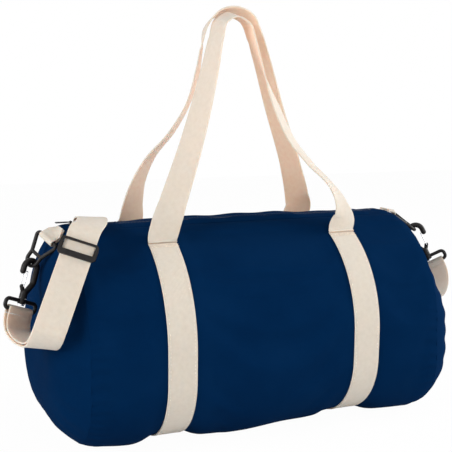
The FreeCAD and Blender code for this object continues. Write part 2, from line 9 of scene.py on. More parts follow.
import bpy
import numpy as np
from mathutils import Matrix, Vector


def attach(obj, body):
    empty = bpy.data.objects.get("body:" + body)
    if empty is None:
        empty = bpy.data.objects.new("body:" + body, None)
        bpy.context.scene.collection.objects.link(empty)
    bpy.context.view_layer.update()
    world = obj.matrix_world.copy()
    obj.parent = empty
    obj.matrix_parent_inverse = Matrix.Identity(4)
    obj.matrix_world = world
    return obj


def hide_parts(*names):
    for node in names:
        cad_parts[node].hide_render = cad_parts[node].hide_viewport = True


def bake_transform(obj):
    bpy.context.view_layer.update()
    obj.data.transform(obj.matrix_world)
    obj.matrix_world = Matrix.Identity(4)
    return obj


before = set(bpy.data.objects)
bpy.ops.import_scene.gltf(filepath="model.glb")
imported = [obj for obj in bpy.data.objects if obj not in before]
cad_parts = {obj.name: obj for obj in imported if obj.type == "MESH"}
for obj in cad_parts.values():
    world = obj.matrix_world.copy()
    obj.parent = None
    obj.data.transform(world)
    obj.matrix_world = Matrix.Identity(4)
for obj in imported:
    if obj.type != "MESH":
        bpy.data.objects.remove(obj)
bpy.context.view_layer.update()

# %% [markdown]
# ## Camera
# The photograph was taken from a little above, to the left of the front. The lens and the place were
# fitted to the barrel's ends and bands, so the render can be laid over the photograph.

# %% Camera
scene = bpy.context.scene


def set_all(thing, **settings):
    for key, value in settings.items():
        setattr(thing, key, value)


def aim_at(thing, target):
    thing.rotation_euler = (Vector(target) - thing.location).to_track_quat("-Z", "Y").to_euler()


bpy.ops.object.camera_add(location=(-0.5089, -1.1483, 0.4317))
camera = bpy.context.object
camera.name = "camera"
aim_at(camera, (-0.012, 0.0, 0.267))
set_all(camera.data, sensor_width=36.0, lens=72.0)
scene.camera = camera
print("camera at", [round(c, 3) for c in camera.location])

# %% [markdown]
# ## Light and floor
# A packshot is lit by two large soft lamps, one at each side, so that faces turned away from the camera
# are as bright as those turned to it. A weak third lamp and the world lift the shadows. The camera sees
# the world as white paper, while the light it gives is weaker than that.

# %% World and lamps
scene.view_settings.view_transform = "Standard"


def join(tree, a, b):
    tree.links.new(a, b)


def set_inputs(node, **values):
    """Give a node's sockets constant values; an underscore in a name stands for a space."""
    for name, value in values.items():
        node.inputs[name.replace("_", " ")].default_value = value


def combine(tree, operation, a, b):
    """A maths node on two sockets, or on a socket and a number."""
    made = tree.nodes.new("ShaderNodeMath")
    made.operation = operation
    for socket, value in zip(made.inputs, (a, b)):
        if isinstance(value, float):
            socket.default_value = value
        else:
            join(tree, value, socket)
    return made.outputs[0]


def seen_directly(tree):
    """1 for rays from the camera, from gloss and through glass, so that all of them see the white ground."""
    path = tree.nodes.new("ShaderNodeLightPath")
    total = path.outputs["Is Camera Ray"]
    for name in ("Is Glossy Ray", "Is Transmission Ray"):
        total = combine(tree, "MAXIMUM", total, path.outputs[name])
    return total


def show_by(tree, share, first, second, output):
    """Show the first shader where the share is 0 and the second where it is 1."""
    mix = tree.nodes.new("ShaderNodeMixShader")
    for source, socket in zip((share, first.outputs[0], second.outputs[0]), mix.inputs):
        join(tree, source, socket)
    join(tree, mix.outputs[0], tree.nodes[output].inputs["Surface"])


world = bpy.data.worlds.new("studio")
scene.world = world
world.use_nodes = True
sky = world.node_tree
lit = sky.nodes["Background"]
set_inputs(lit, Color=(1.0, 1.0, 1.0, 1.0), Strength=0.40)
white = sky.nodes.new("ShaderNodeBackground")
set_inputs(white, Color=(1.0, 1.0, 1.0, 1.0), Strength=1.0)
show_by(sky, seen_directly(sky), lit, white, "World Output")


def softbox(name, place, aim, size, power):
    bpy.ops.object.light_add(type="AREA", location=place)
    lamp = bpy.context.object
    lamp.name = name
    set_all(lamp.data, shape="DISK", size=size, energy=power)
    aim_at(lamp, aim)


softbox("key", (-2.4, -0.8, 1.3), (0.0, 0.0, 0.3), 1.8, 50.0)
softbox("fill", (2.4, -0.7, 1.3), (0.0, 0.0, 0.3), 1.8, 60.0)
softbox("front", (0.2, -2.3, 0.8), (0.0, 0.0, 0.35), 1.2, 8.0)

# %% [markdown]
# A white sweep of paper would come out grey under these lamps. So the floor mostly glows to the camera, and
# a small share of it is matt, which takes a trace of the bag's shadow.

# %% Floor


def finish(name, colour, roughness):
    made = bpy.data.materials.new(name)
    made.use_nodes = True
    surface = made.node_tree.nodes["Principled BSDF"]
    set_inputs(surface, Base_Color=(*colour, 1.0), Roughness=roughness)
    made.diffuse_color = (*colour, 1.0)
    return made, made.node_tree, surface


def wear(piece, *finishes):
    piece.data.materials.clear()
    for made in finishes:
        piece.data.materials.append(made)


bpy.ops.mesh.primitive_plane_add(size=8.0, location=(0.0, 0.0, -0.0006))
floor = bpy.context.object
floor.name = "floor"
ground, tree, matt = finish("white_ground", (0.93, 0.93, 0.93), 0.9)
glow = tree.nodes.new("ShaderNodeEmission")
set_inputs(glow, Strength=1.0)
glow_share = combine(tree, "MULTIPLY", seen_directly(tree), 0.975)
show_by(tree, glow_share, matt, glow, "Material Output")
wear(floor, ground)
print("floor of", ground.name)

# %% [markdown]
# ## Cloth finishes
# Canvas is a plain weave of thick yarns, dyed navy. Its pattern follows the cloth, so it reads the UV map,
# which holds metres: a picture of canvas would repeat, while a wave texture draws the yarns without end.
# Noise gives the slight unevenness of the dye.

# %% Canvas


def yarns(tree, direction, pitch, source):
    """A wave texture whose ridges are a given distance apart in metres, across one direction of the cloth."""
    wave = tree.nodes.new("ShaderNodeTexWave")
    set_all(wave, wave_type="BANDS", bands_direction=direction)
    set_inputs(wave, Scale=math.pi / 10 / pitch)
    join(tree, source, wave.inputs["Vector"])
    return wave.outputs["Fac"]


def mottle(tree, source, scale, detail):
    cloud = tree.nodes.new("ShaderNodeTexNoise")
    set_inputs(cloud, Scale=scale, Detail=detail)
    join(tree, source, cloud.inputs["Vector"])
    return cloud.outputs["Fac"]


def ramp(tree, source, *stops):
    """A colour ramp of (place, colour) stops."""
    made = tree.nodes.new("ShaderNodeValToRGB")
    while len(made.color_ramp.elements) < len(stops):
        made.color_ramp.elements.new(0.5)
    for element, (at, colour) in zip(made.color_ramp.elements, stops):
        element.position = at
        element.color = (*colour, 1.0)
    join(tree, source, made.inputs["Fac"])
    return made.outputs["Color"]


def raise_surface(tree, surface, height, distance, strength):
    bump = tree.nodes.new("ShaderNodeBump")
    set_inputs(bump, Distance=distance, Strength=strength)
    join(tree, height, bump.inputs["Height"])
    join(tree, bump.outputs["Normal"], surface.inputs["Normal"])


def tint(tree, base, other, amount):
    """Mix one colour into another by a texture's value."""
    made = tree.nodes.new("ShaderNodeMix")
    made.data_type = "RGBA"
    join(tree, amount, made.inputs["Factor"])
    for socket, colour in ((made.inputs[6], base), (made.inputs[7], other)):
        if isinstance(colour, tuple):
            socket.default_value = (*colour, 1.0)
        else:
            join(tree, colour, socket)
    return made.outputs[2]


def canvas_finish(name, dark, plain, pale):
    made, tree, surface = finish(name, plain, 0.88)
    coords = tree.nodes.new("ShaderNodeTexCoord")
    warp = yarns(tree, "X", 0.0011, coords.outputs["UV"])
    weft = yarns(tree, "Y", 0.0013, coords.outputs["UV"])
    weave = combine(tree, "MULTIPLY", warp, weft)
    dye = mottle(tree, coords.outputs["Object"], 14.0, 5.0)
    colour = ramp(tree, dye, (0.3, dark), (0.52, plain), (0.78, pale))
    fleck = combine(tree, "MULTIPLY", weave, 0.22)
    join(tree, tint(tree, colour, pale, fleck), surface.inputs["Base Color"])
    slub = mottle(tree, coords.outputs["UV"], 420.0, 2.0)
    height = combine(tree, "ADD", weave, combine(tree, "MULTIPLY", slub, 0.5))
    raise_surface(tree, surface, height, 0.0004, 0.35)
    set_inputs(surface, Sheen_Weight=0.002, Sheen_Roughness=0.6, Specular_IOR_Level=0.006)
    return made


navy_canvas = canvas_finish(
    "navy_canvas", (0.0004, 0.0140, 0.053), (0.0006, 0.0158, 0.0585), (0.0012, 0.0180, 0.064)
)
navy_lining = canvas_finish(
    "navy_lining", (0.0004, 0.010, 0.038), (0.0006, 0.0135, 0.049), (0.0016, 0.018, 0.060)
)
print("canvas finishes:", navy_canvas.name, navy_lining.name)

# %% [markdown]
# Webbing is a heavier ribbed weave of undyed cotton with a few dark flecks of seed. Light goes a little way
# into it. Its inner side has a finish of its own: the same webbing with a painted blush of warm light.

# %% Webbing


def webbing_finish(name, shade, plain, pale):
    made, tree, surface = finish(name, plain, 0.82)
    coords = tree.nodes.new("ShaderNodeTexCoord")
    cords = yarns(tree, "X", 0.0017, coords.outputs["UV"])
    picks = yarns(tree, "Y", 0.0012, coords.outputs["UV"])
    weave = combine(tree, "MULTIPLY", cords, picks)
    cloudy = mottle(tree, coords.outputs["UV"], 160.0, 8.0)
    colour = ramp(tree, cloudy, (0.25, shade), (0.55, plain), (0.85, pale))
    ribs = combine(tree, "MULTIPLY", weave, 0.30)
    colour = tint(tree, colour, pale, ribs)
    seed = mottle(tree, coords.outputs["UV"], 380.0, 1.0)
    speck = ramp(tree, seed, (0.70, (0.0, 0.0, 0.0)), (0.78, (0.35, 0.35, 0.35)))
    join(tree, tint(tree, colour, shade, speck), surface.inputs["Base Color"])
    raise_surface(tree, surface, weave, 0.0005, 0.45)
    set_inputs(surface, Subsurface_Weight=0.6, Subsurface_Radius=(1.0, 0.72, 0.58), Subsurface_Scale=0.004)
    set_inputs(surface, Sheen_Weight=0.08, Specular_IOR_Level=0.2)
    return made


webbing_face = webbing_finish("webbing_face", (0.63, 0.56, 0.475), (0.665, 0.595, 0.51), (0.69, 0.625, 0.54))
# The second finish is the same webbing with painted warm light: a pink blush on the sides that face into
# loops and folds.
webbing_painted_blush = webbing_finish("webbing_painted_blush", (0.94, 0.66, 0.52), (0.97, 0.72, 0.575), (0.99, 0.76, 0.62))
print("webbing finishes:", webbing_face.name, webbing_painted_blush.name)

# %% [markdown]
# ## Hardware finishes
# The rings, hooks, loops and adjuster are moulded in black plastic with a soft sheen and a fine grain.
# The gates are bright wire. These pieces are rigid, so their grain reads Object coordinates.

# %% Plastic, steel, thread and zip


def grained(name, colour, roughness, spread, grain, metallic=0.0, gloss=0.5):
    made, tree, surface = finish(name, colour, roughness)
    coords = tree.nodes.new("ShaderNodeTexCoord")
    cloud = mottle(tree, coords.outputs["Object"], grain, 4.0)
    low, high = roughness - spread, roughness + spread
    rough = ramp(tree, cloud, (0.3, (low, low, low)), (0.7, (high, high, high)))
    join(tree, rough, surface.inputs["Roughness"])
    pale = tuple(min(1.0, c * 1.5 + 0.004) for c in colour)
    worn = mottle(tree, coords.outputs["Object"], grain * 0.2, 3.0)
    join(tree, ramp(tree, worn, (0.35, colour), (0.75, pale)), surface.inputs["Base Color"])
    raise_surface(tree, surface, cloud, 0.0002, 0.12)
    set_inputs(surface, Metallic=metallic, Specular_IOR_Level=gloss)
    return made


moulded_black = grained("moulded_black", (0.009, 0.008, 0.008), 0.40, 0.08, 900.0, gloss=0.2)
steel_wire = grained("steel_wire", (0.56, 0.57, 0.59), 0.24, 0.06, 700.0, metallic=1.0)
lacquered = grained("lacquered_zip", (0.012, 0.013, 0.016), 0.34, 0.06, 600.0, gloss=0.2)
nylon_coil = grained("nylon_coil", (0.004, 0.014, 0.04), 0.5, 0.08, 800.0)
sewing_thread = grained("sewing_thread", (0.70, 0.58, 0.47), 0.75, 0.08, 1500.0)
pale_thread = grained("pale_thread", (0.64, 0.57, 0.485), 0.8, 0.04, 1500.0)
navy_thread = grained("navy_thread", (0.002, 0.018, 0.058), 0.75, 0.08, 1500.0)


def dress(made, *names):
    for name in names:
        wear(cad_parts[name], made)


for side in ("left_", "right_"):
    dress(moulded_black, side + "ring", side + "hook", side + "swivel_loop")
    dress(steel_wire, side + "gate", side + "swivel_rivet")
dress(moulded_black, "adjuster")
dress(lacquered, "zip_slider", "zip_pull")
dress(nylon_coil, "zip_stops")
print("hardware dressed")

# %% [markdown]
# ## Cloth from flat cuts
# The bag is sewn from flat cuts, so every cloth piece starts as a flat grid whose UV map is the cut in
# metres. The grid is then wrapped: a function says where each spot of the cut ends up. A sculpted blob
# could give the same shape, but its weave would have no direction. The outline below is the bag seen
# from one end: a round top on a squarer base.

# %% Outline
x_axis = Vector((1.0, 0.0, 0.0))
z_axis = Vector((0.0, 0.0, 1.0))
radius = 0.145
axis_height = 0.135
corner = 0.095
half_length = 0.245
flat_half = radius - corner
side_end = radius * math.pi / 2 + axis_height - corner
half_round = side_end + corner * math.pi / 2 + flat_half
girth = 2 * half_round


def ease(value, low, high):
    t = np.clip((value - low) / (high - low), 0.0, 1.0)
    return t * t * (3 - 2 * t)


def from_top(arc):
    """The shorter way from the top of the outline to a place on it."""
    return min(arc, girth - arc)


def outline(arc):
    """A point of the outline and its outward normal, at a distance from the top down the front."""
    down = from_top(arc)
    if down < radius * math.pi / 2:
        turn = down / radius
        across, level = math.sin(turn), math.cos(turn)
        y, z = radius * across, axis_height + radius * level
    elif down < side_end:
        across, level = 1.0, 0.0
        y, z = radius, corner + side_end - down
    elif down < half_round - flat_half:
        turn = (down - side_end) / corner
        across, level = math.cos(turn), -math.sin(turn)
        y, z = flat_half + corner * across, corner + corner * level
    else:
        across, level = 0.0, -1.0
        y, z = half_round - down, 0.0
    sign = 1.0 if arc > half_round else -1.0
    return Vector((0.0, sign * y, z)), Vector((0.0, sign * across, level))


print("girth of the canvas", round(girth, 4))

# %% [markdown]
# A cut is a grid with rows and columns at chosen metres, so a seam can follow whole edges. Its UV map is
# set while it is flat, and tells later steps where each point was cut from.

# %% Flat cuts


def marks(step, *stops):
    """Values through all the stops, about one step apart."""
    out = [stops[0]]
    for a, b in zip(stops, stops[1:]):
        count = max(1, round((b - a) / step))
        out += [a + (b - a) * k / count for k in range(1, count + 1)]
    return out


def flat_cloth(name, columns, rows, place):
    """A grid cut flat along columns and rows in metres, then wrapped by place(u, v)."""
    wide, long = len(columns) - 1, len(rows) - 1
    bpy.ops.mesh.primitive_grid_add(x_subdivisions=wide, y_subdivisions=long, size=2.0)
    cloth = bpy.context.object
    cloth.name = name
    spots = []
    for vertex in cloth.data.vertices:
        i = round((vertex.co.x + 1) / 2 * wide)
        j = round((vertex.co.y + 1) / 2 * long)
        spots.append((columns[i], rows[j]))
    cut = cloth.data.uv_layers.active.data
    for loop in cloth.data.loops:
        cut[loop.index].uv = spots[loop.vertex_index]
    for vertex, (u, v) in zip(cloth.data.vertices, spots):
        vertex.co = place(u, v)
    return cloth


def flat_places(mesh):
    """Each vertex's place on the flat cut."""
    uv = np.empty(len(mesh.loops) * 2)
    mesh.uv_layers.active.data.foreach_get("uv", uv)
    corners = np.empty(len(mesh.loops), dtype=int)
    mesh.loops.foreach_get("vertex_index", corners)
    places = np.zeros((len(mesh.vertices), 2))
    places[corners] = uv.reshape(-1, 2)
    return places


def points_of(mesh, what="co"):
    found = np.empty(len(mesh.vertices) * 3)
    mesh.vertices.foreach_get(what, found)
    return found.reshape(-1, 3)


def move_points(mesh, points):
    mesh.vertices.foreach_set("co", points.ravel())
    mesh.update()


print("columns of a cut 10 mm wide", marks(0.005, 0.0, 0.01))

# %% [markdown]
# Sewing has its own few steps: merge the edges that meet in a seam, delete what is cut out, turn a cut over,
# give it thickness and a finish, and sew it in, which means that it moves with a body of the frame.

# %% Sewing steps
canvas_thick = 0.0012


def only(*pieces):
    """Select these pieces and no others; the first is the active one."""
    bpy.ops.object.select_all(action="DESELECT")
    for piece in pieces:
        piece.select_set(True)
    bpy.context.view_layer.objects.active = pieces[0]


def edit(piece, *steps):
    """Run edit-mode steps on one piece alone."""
    only(piece)
    bpy.ops.object.mode_set(mode="EDIT")
    for step in steps:
        step()
    bpy.ops.object.mode_set(mode="OBJECT")


def merge_seam():
    bpy.ops.mesh.select_all(action="SELECT")
    bpy.ops.mesh.remove_doubles(threshold=0.00004)


def apply_modifier(piece, kind, **settings):
    bpy.context.view_layer.objects.active = piece
    made = piece.modifiers.new(kind.lower(), kind)
    set_all(made, **settings)
    bpy.ops.object.modifier_apply(modifier=made.name)


def flip(piece):
    edit(piece, lambda: bpy.ops.mesh.flip_normals())


def delete_faces(piece, chosen):
    """Take away the faces that chosen(face) picks."""
    edit(
        piece,
        lambda: bpy.ops.mesh.select_mode(type="FACE"),
        lambda: bpy.ops.mesh.select_all(action="DESELECT"),
    )
    for face in piece.data.polygons:
        face.select = chosen(face)
    edit(piece, lambda: bpy.ops.mesh.delete(type="FACE"))


def subdivide(piece):
    apply_modifier(piece, "SUBSURF", levels=1, render_levels=1, boundary_smooth="PRESERVE_CORNERS")


def round_edges(piece, width):
    limit = math.radians(60)
    apply_modifier(piece, "BEVEL", width=width, segments=2, limit_method="ANGLE", angle_limit=limit)


def smooth(piece, degrees=50.0):
    only(piece)
    bpy.ops.object.shade_smooth_by_angle(angle=math.radians(degrees))


def canvas_layers(piece):
    """Thickness for a canvas cut, dyed outside and lined inside."""
    wear(piece, navy_canvas, navy_lining)
    apply_modifier(piece, "SOLIDIFY", thickness=canvas_thick, offset=-1.0, material_offset=1)


def tape_layers(piece, thick):
    wear(piece, navy_lining)
    apply_modifier(piece, "SOLIDIFY", thickness=thick, offset=0.0)
    smooth(piece)


def sew_in(piece, body, node):
    """The piece moves with a body and stands in for the plain solid of one node."""
    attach(piece, body)
    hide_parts(node)


print("canvas is", canvas_thick, "m thick")

# %% [markdown]
# ## Barrel canvas
# One wide cut goes round the barrel, from one side of the zip to the other. The bands pull it in, most
# of all round the bottom corners, and it is tucked in towards the end seams.

# %% Where the canvas lies
band_middle = 0.131
webbing_width = 0.038
webbing_thick = 0.002
tack_angle = math.radians(29.0)
bartack_arc = radius * tack_angle
mouth_arc = 0.03134
slit_arc = 0.0032
zip_left, zip_right = -0.236, 0.222
mouth_left, mouth_right = -0.1725, 0.2055


def band_depth(arc):
    """How far a band pulls into the bag: hardly at the top, most round the bottom corners."""
    down = from_top(arc)
    return 0.0004 + 0.0046 * ease(down, 0.22, 0.37)


def beside_band(x):
    """How far a place along the bag lies from the nearer edge of a band."""
    return abs(abs(x) - band_middle) - webbing_width / 2


def canvas_depth(arc, x):
    """How far the canvas lies inside the plain outline."""
    down = from_top(arc)
    aside = beside_band(x)
    under_band = (band_depth(arc) + 0.0023) * (1 - ease(aside, 0.0006, 0.030)) * ease(down, 0.062, 0.072)
    at_seam = 0.0024 * (1 - ease(half_length - abs(x), 0.0, 0.011))
    tuck = (0.0075 if x < 0 else 0.002) * ease(abs(x), 0.18, 0.262)
    rounded = tuck * (0.35 * ease(down, 0.10, 0.2) + 0.65 * ease(down, 0.30, 0.40))
    lifted = 0.003 * ease(x, -0.03, 0.05) * (1 - ease(x, 0.085, 0.112)) * ease(down, 0.30, 0.36)
    swell = 0.007 * ease(x, 0.155, 0.235) * math.exp(-(((down - 0.335) / 0.055) ** 2))
    return under_band + at_seam + rounded + lifted - swell


def on_canvas(arc, x, lift=0.0):
    point, normal = outline(arc)
    return point + normal * (lift - canvas_depth(arc, x)) + Vector((x, 0.0, 0.0))


def cut_mouth(piece):
    """Take away the faces of the zip's slit and of the mouth that the lips close."""

    def in_mouth(face):
        cut = piece.data.uv_layers.active.data
        spots = [cut[k].uv for k in face.loop_indices]
        u = sum(s.x for s in spots) / len(spots)
        v = sum(s.y for s in spots) / len(spots)
        down = from_top(u)
        slit = down < slit_arc and zip_left < v < zip_right
        return slit or (down < mouth_arc and mouth_left < v < mouth_right)

    delete_faces(piece, in_mouth)


print("under the bag a band sinks in by", round(float(band_depth(half_round)), 4))

# %% [markdown]
# A cloth simulation fills the barrel with air while the seams and bands hold it, so the panels between them
# swell as a packed bag does. A soft cap on the movement keeps the cloth within its place in the frame.

# %% Letting cloth settle
settle_frames = 20


def settle(piece, sewn, pressure, slack, weight, cap):
    """Let cloth swell and sag between the places where it is sewn, and cap how far it moves."""
    mesh = piece.data
    before = points_of(mesh)
    group = piece.vertex_groups.new(name="sewn")
    for index, (u, v) in enumerate(flat_places(mesh)):
        group.add([index], float(sewn(u, v)), "REPLACE")
    made = piece.modifiers.new("settle", "CLOTH")
    cloth = made.settings
    set_all(cloth, quality=6, mass=0.3, tension_stiffness=18.0, compression_stiffness=12.0)
    set_all(cloth, shear_stiffness=8.0, bending_stiffness=1.2, air_damping=4.0)
    set_all(cloth, vertex_group_mass="sewn", use_pressure=True, uniform_pressure_force=pressure)
    set_all(cloth, shrink_min=-slack, shrink_max=-slack)
    cloth.effector_weights.gravity = weight
    made.collision_settings.use_collision = False
    set_all(made.point_cache, frame_start=1, frame_end=settle_frames)
    for count in range(1, settle_frames + 1):
        scene.frame_set(count)
    bpy.context.view_layer.objects.active = piece
    bpy.ops.object.modifier_apply(modifier=made.name)
    scene.frame_set(1)
    piece.vertex_groups.clear()
    moved = points_of(mesh) - before
    length = np.maximum(np.linalg.norm(moved, axis=1, keepdims=True), 1e-9)
    after = before + moved / length * cap * np.tanh(length / cap)
    after[:, 2] = np.maximum(after[:, 2], np.minimum(before[:, 2], 0.0))
    move_points(mesh, after)
    print(piece.name, "settled by at most", round(float(length.max()), 4))


print("cloth settles over", settle_frames, "frames")

# %% [markdown]
# The cut has rows and columns along the mouth, the bands and the seams. Once it has settled, the end seams
# gather it into short puckers, and the creases of a folded bag are pressed in along the flat cut.

# %% Barrel canvas


def barrel_sewn(u, v):
    """1 where the barrel's canvas is held: bands, end seams, the mouth and the base."""
    down = from_top(u)
    aside = beside_band(v)
    at_band = (1 - ease(aside, 0.001, 0.016)) * ease(down, 0.058, 0.070)
    at_seam = 1 - ease(half_length - abs(v), 0.002, 0.018)
    at_mouth = 1 - ease(down, 0.040, 0.062)
    at_base = ease(down, 0.425, 0.450)
    return max(at_band, at_seam, at_mouth, at_base)


cut_step = 0.0074
across_cut = marks(cut_step, 0.0, slit_arc, mouth_arc, bartack_arc, half_round)
across_cut += [girth - u for u in reversed(across_cut[:-1])]
band_edges = (-0.150, -0.112, 0.112, 0.150)
along_stops = (-half_length, zip_left, mouth_left, *band_edges, mouth_right, zip_right, half_length)
along_cut = marks(cut_step, *along_stops)
barrel = flat_cloth("barrel_canvas", across_cut, along_cut, on_canvas)
cut_mouth(barrel)
edit(barrel, merge_seam)
settle(barrel, barrel_sewn, pressure=3.0, slack=0.012, weight=0.6, cap=0.007)
subdivide(barrel)


def press_creases(mesh):
    """Puckers at the end seams, the hem round the mouth and the fold lines of the front."""
    places = flat_places(mesh)
    u, v = places[:, 0], places[:, 1]
    down = np.minimum(u, girth - u)
    seam = half_length - np.abs(v)
    beat = down / 0.0148 + 0.35 * np.sin(down * 61.0) + np.where(v > 0, 0.4, 0.0)
    strength = 0.55 + 0.45 * np.sin(down * 23.0 + 2.0) + 0.35 * ease(down, 0.22, 0.36)
    pucker = 0.0012 * strength * np.sin(2 * math.pi * beat) * np.exp(-((seam - 0.010) / 0.013) ** 2)
    hem = 0.0009 * (1 - ease(down, 0.040, 0.0455)) * ease(down, 0.032, 0.036)
    hem = hem * ease(v, mouth_left - 0.012, mouth_left - 0.008)
    hem = hem * (1 - ease(v, mouth_right + 0.008, mouth_right + 0.012))
    front = np.where(u < half_round, 1.0, 0.75)
    line = 0.138 + 0.0025 * np.sin(v * 30.0)
    reach = ease(v, -0.100, -0.070) * (1 - ease(v, 0.070, 0.105))
    crease = -0.0022 * np.exp(-((down - line) / 0.0050) ** 2)
    crease = crease + 0.0016 * np.exp(-((down - line + 0.011) / 0.0085) ** 2)
    low_line = 0.166 - 0.06 * v
    low_reach = ease(v, -0.075, -0.045) * (1 - ease(v, 0.030, 0.075))
    low_crease = -0.0013 * np.exp(-((down - low_line) / 0.0060) ** 2) * low_reach
    roll = 0.0008 * np.sin(v * 41.0 + down * 17.0) * np.sin(down * 29.0 + v * 9.0) * ease(seam, 0.0, 0.03)
    lift = pucker + hem + front * (crease * reach + low_crease) + roll * ease(down, 0.045, 0.08)
    moved = points_of(mesh) + points_of(mesh, "normal") * lift[:, None]
    moved[:, 2] = np.maximum(moved[:, 2], 0.0)
    move_points(mesh, moved)


press_creases(barrel.data)
canvas_layers(barrel)
smooth(barrel)
sew_in(barrel, "bag", "barrel_panel")
print("barrel canvas faces", len(barrel.data.polygons))

# %% [markdown]
# ## End panels
# Each end is one cut sewn all round to the barrel. It is pushed out by what is packed inside, with a
# flatter middle and a tight shoulder next to the seam, and shallow folds run in from the seam. A flat
# disc would show the bag empty, so rings of the grid step out along a rounded profile. The clip that rests
# on the left end presses a shallow dent into it.

# %% End canvases
end_middle = Vector((0.0, 0.0, 0.134))


def end_place(sign):
    def place(u, v):
        rim = on_canvas(u, sign * half_length)
        rim.x = 0.0
        inward = end_middle - rim
        share = v / radius
        down = from_top(u)
        full = ease(down, 0.13, 0.24) * (1 - ease(share, 0.40, 0.85)) * (0.75 if sign < 0 else 1.9)
        rise = (0.0345 + 0.0045 * full) * (1 - (1 - min(1.0, share / 0.66)) ** (2.3 + 1.3 * full))
        out = rise + 0.0015 * ease(share, 0.6, 1.0)
        near_seam = math.exp(-((share - 0.13) / 0.12) ** 2)
        fold = 0.0016 * math.sin(2 * math.pi * down / 0.031 + 1.3 * sign) * near_seam
        spot = rim + inward * share
        rest = math.exp(-(((spot.y + 0.012) / 0.045) ** 2) - ((spot.z - 0.172) / 0.040) ** 2)
        dent = 0.0055 * rest if sign < 0 else 0.0
        return spot + Vector((sign * (half_length + out + fold - dent), 0.0, 0.0))

    return place


for side, sign in (("left", -1.0), ("right", 1.0)):
    columns = marks(0.0078, 0.0, girth)
    rings = marks(0.0075, 0.0, radius)
    if sign > 0:
        rings = rings[::-1]
    panel = flat_cloth(side + "_end_canvas", columns, rings, end_place(sign))
    edit(panel, merge_seam)
    subdivide(panel)
    turned_out = sum(f.normal.x * f.area for f in panel.data.polygons) * sign
    if turned_out < 0:
        flip(panel)
    canvas_layers(panel)
    smooth(panel)
    sew_in(panel, "bag", side + "_end_panel")

    def tape_place(u, v):
        return on_canvas(u, sign * (half_length - v), -0.0023)

    tape = flat_cloth(side + "_seam_tape", columns, [0.0, 0.004, 0.008], tape_place)
    edit(tape, merge_seam)
    tape_layers(tape, 0.001)
    sew_in(tape, "bag", side + "_seam_binding")
    print(panel.name, "turned out" if turned_out > 0 else "was flipped", len(panel.data.polygons), "faces")

# %% [markdown]
# ## Stitches and zip teeth
# A stitch and a tooth are each modelled once and repeated along a line. One small mesh per row keeps
# the object light, and every copy is placed by its own point, direction and normal.

# %% Repeating a small shape


def small_shape(add, size, **bevel):
    """One primitive, sized and rounded, kept as points and faces to be repeated."""
    add()
    one = bpy.context.object
    one.scale = size
    bpy.ops.object.transform_apply(location=False, rotation=False, scale=True)
    if bevel:
        apply_modifier(one, "BEVEL", **bevel)
    kept = points_of(one.data), [tuple(f.vertices) for f in one.data.polygons]
    bpy.data.objects.remove(one)
    return kept


def repeat(name, shape, spots, made):
    """Copies of a small shape, one for each (point, along, normal)."""
    base, faces = shape
    points, loops = [], []
    for at, along, normal in spots:
        along = along.normalized()
        side = normal.cross(along).normalized()
        turn = np.array((along, side, along.cross(side)))
        first = len(points) * len(base)
        points.append(base @ turn + np.array(at))
        loops += [tuple(first + k for k in face) for face in faces]
    mesh = bpy.data.meshes.new(name)
    mesh.from_pydata(np.concatenate(points).tolist(), [], loops)
    piece = bpy.data.objects.new(name, mesh)
    bpy.context.collection.objects.link(piece)
    wear(piece, made)
    smooth(piece, 60.0)
    return piece


def ball():
    bpy.ops.mesh.primitive_uv_sphere_add(segments=6, ring_count=4, radius=1.0)


def block():
    bpy.ops.mesh.primitive_cube_add(size=2.0)


stitch = small_shape(ball, (0.0016, 0.00045, 0.0004))
tooth = small_shape(block, (0.00042, 0.0014, 0.0011), width=0.0003, segments=1)
print("stitch faces", len(stitch[1]), "tooth faces", len(tooth[1]))

# %% [markdown]
# ## Zip
# Two canvas lips close the mouth, each with a woven tape and a nylon coil sewn under its edge. The lips
# wave a little, as canvas does beside a stiff zip. They open with the zip, so tape, coil and stitching
# ride with their lip.

# %% Lips, tapes and coils
lip_left, lip_right = -0.172, 0.205
lip_near, lip_hem, lip_far = 0.0034, 0.0078, 0.0298
tape_near, tape_far = 0.0026, 0.0146
tape_sink = 0.00175
coil_aside, coil_sink = 0.0012, 0.0014
tooth_pitch = 0.0019
seam_lines = (0.0062, 0.0100)
top_z = 0.280


def puff(down, x):
    """How far a lip stands up beside the zip: most in the middle, in slow waves."""
    beside = ease(down, 0.008, 0.017) * (1 - ease(down, 0.022, 0.0304))
    arch = 0.0024 * ease(x, -0.15, -0.05) * (1 - ease(x, 0.07, 0.14))
    waves = 0.0007 + 0.0007 * math.sin(x * 96.0 + 0.9) + 0.0004 * math.sin(x * 41.0)
    return beside * (arch + waves * ease(x, -0.165, -0.14) * (1 - ease(x, 0.19, 0.215)))


def on_top(y, x, lift=0.0):
    reach = radius + lift
    return Vector((x, y, axis_height + math.sqrt(reach ** 2 - y ** 2)))


def zip_tape(name, sign, x0, x1):
    def place(u, v):
        return on_top(sign * u, v, -tape_sink)

    tape = flat_cloth(name, marks(0.003, tape_near, tape_far), marks(0.010, x0, x1), place)
    if sign > 0:
        flip(tape)
    tape_layers(tape, 0.0008)
    return tape


def zip_coil(name, sign, x0, x1):
    """Teeth along one side; the two sides are half a pitch apart."""
    count = int((x1 - x0) / tooth_pitch)
    shift = tooth_pitch * (0.25 if sign > 0 else 0.75)
    spots = []
    for k in range(count):
        at = Vector((x0 + shift + k * tooth_pitch, sign * coil_aside, top_z - coil_sink))
        spots.append((at, x_axis, z_axis))
    return repeat(name, tooth, spots, nylon_coil)


